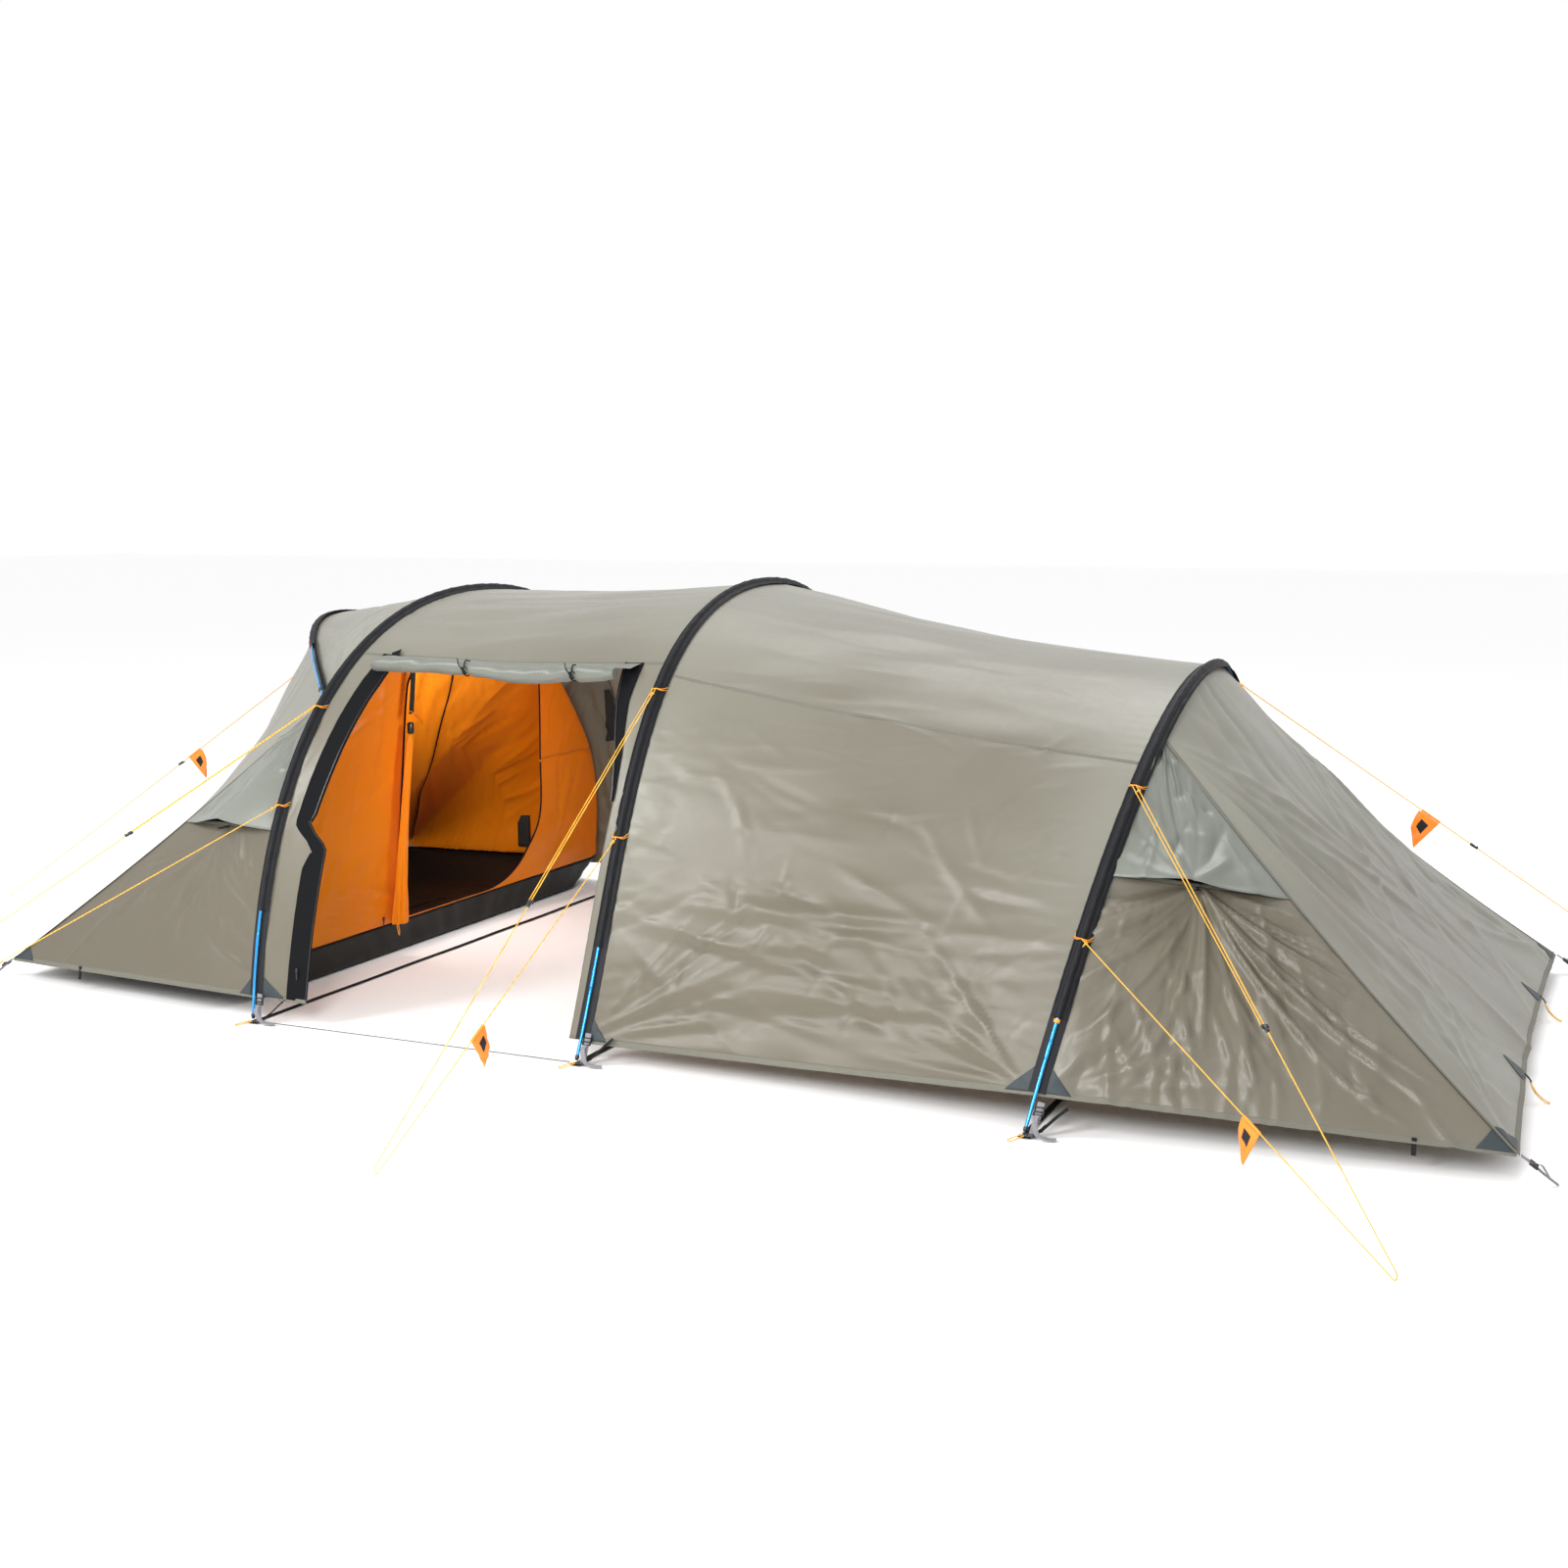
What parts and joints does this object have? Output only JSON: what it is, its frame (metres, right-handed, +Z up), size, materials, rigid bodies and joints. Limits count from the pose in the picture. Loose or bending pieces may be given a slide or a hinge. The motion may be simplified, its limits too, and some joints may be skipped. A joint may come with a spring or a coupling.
{
  "type": "tunnel tent",
  "caption": "Hooped tunnel tent with a side door, hooded vents, a sloping front, guylines and an orange inner tent under a grey fly.",
  "frame": {"origin": "middle of the footprint on the ground, guylines left out", "axes": "+X along the tent towards its long sloping front, +Y away from the side door, +Z up"},
  "size_m": [8.3031, 4.8079, 1.7101],
  "materials": {
    "fly_fabric": "ripstop, silicone coated, grey olive, satin",
    "hood_fabric": "ripstop, lighter grey, satin",
    "sleeve_fabric": "dense plain weave, charcoal, matt",
    "inner_fabric": "breathable ripstop, orange",
    "groundsheet": "coated taffeta, black, satin",
    "pole_alloy": "anodised blue, gloss",
    "grey_webbing": "woven polyester tape, grey",
    "base_webbing": "woven polyester tape, black",
    "guyline": "braided cord, yellow orange with a light tracer",
    "grey_cord": "braided cord, grey",
    "black_plastic": "moulded nylon, black",
    "bag_fabric": "light orange nylon"
  },
  "bodies": {
    "tent": {"pole_a": "pole_alloy", "sleeve_a": "sleeve_fabric", "pole_b": "pole_alloy", "sleeve_b": "sleeve_fabric", "pole_c": "pole_alloy", "sleeve_c": "sleeve_fabric", "pole_brow": "pole_alloy", "sleeve_brow": "sleeve_fabric", "fly_mid_roof": "fly_fabric", "fly_door_jamb_rear": "fly_fabric", "fly_door_jamb_front": "fly_fabric", "fly_main_roof": "fly_fabric", "fly_main_side_near": "fly_fabric", "fly_main_side_far": "fly_fabric", "fly_front_side_near": "fly_fabric", "vent_hood_front": "hood_fabric", "fly_front_side_far": "fly_fabric", "fly_rear_side_near": "fly_fabric", "vent_hood_rear": "hood_fabric", "fly_rear_side_far": "fly_fabric", "fly_front_slope": "fly_fabric", "fly_rear_slope": "fly_fabric", "fly_rear_roof": "fly_fabric", "door_roll": "hood_fabric", "inner_tub": "groundsheet", "inner_front_wall": "inner_fabric", "inner_canopy": "inner_fabric", "inner_door_flap": "inner_fabric", "foot_tensioner_a_near": "grey_webbing", "foot_tensioner_a_far": "grey_webbing", "base_strap_a": "base_webbing", "foot_tensioner_b_near": "grey_webbing", "foot_tensioner_b_far": "grey_webbing", "base_strap_b": "base_webbing", "foot_tensioner_c_near": "grey_webbing", "foot_tensioner_c_far": "grey_webbing", "base_strap_c": "base_webbing", "corner_strap_front_near": "grey_webbing", "corner_strap_rear_near": "grey_webbing", "corner_strap_front_far": "grey_webbing", "corner_strap_rear_far": "grey_webbing", "guy_a": "guyline", "guy_b": "guyline", "guy_bag_b": "bag_fabric", "guy_c": "guyline", "guy_bag_c": "bag_fabric", "guy_front": "guyline", "guy_bag_front": "bag_fabric", "guy_rear": "guyline", "guy_bag_rear": "bag_fabric", "threshold_cord": "grey_cord"},
    "runner_a": {"guy_runner_a": "black_plastic"},
    "runner_b": {"guy_runner_b": "black_plastic"},
    "runner_c": {"guy_runner_c": "black_plastic"},
    "runner_front": {"guy_runner_front": "black_plastic"},
    "runner_rear": {"guy_runner_rear": "black_plastic"},
    "prop_front": {"vent_prop_front": "black_plastic"},
    "prop_rear": {"vent_prop_rear": "black_plastic"},
    "door_slider": {"door_zip_slider": "black_plastic"},
    "inner_slider": {"inner_zip_slider": "black_plastic"}
  },
  "joints": [
    {"name": "runner_a_slide", "type": "slide", "parent": "tent", "child": "runner_a", "axis": [-0.3622, -0.7986, -0.4806], "range_m": [-0.3, 0.3]},
    {"name": "runner_b_slide", "type": "slide", "parent": "tent", "child": "runner_b", "axis": [-0.0006, -0.8156, -0.5786], "range_m": [-0.3, 0.3]},
    {"name": "runner_c_slide", "type": "slide", "parent": "tent", "child": "runner_c", "axis": [0.5174, -0.6907, -0.5051], "range_m": [-0.3, 0.3]},
    {"name": "runner_front_slide", "type": "slide", "parent": "tent", "child": "runner_front", "axis": [0.8388, 0, -0.5445], "range_m": [-0.1, 0.3]},
    {"name": "runner_rear_slide", "type": "slide", "parent": "tent", "child": "runner_rear", "axis": [-0.8258, -0.0668, -0.56], "range_m": [-0.04, 0.3]},
    {"name": "prop_front_fold", "type": "hinge", "parent": "tent", "child": "prop_front", "pos_m": [1.96748, -1.08689, 0.74612], "axis": [1, 0, 0], "range_deg": [0, 40]},
    {"name": "prop_rear_fold", "type": "hinge", "parent": "tent", "child": "prop_rear", "pos_m": [-1.90655, -1.33067, 0.72108], "axis": [1, 0, 0], "range_deg": [0, 40]},
    {"name": "door_zip_run", "type": "slide", "parent": "tent", "child": "door_slider", "axis": [0, 0.0955, 0.9954], "range_m": [0, 0.25]},
    {"name": "inner_zip_run", "type": "slide", "parent": "tent", "child": "inner_slider", "axis": [0, 1, 0], "range_m": [0, 0.85]}
  ]
}
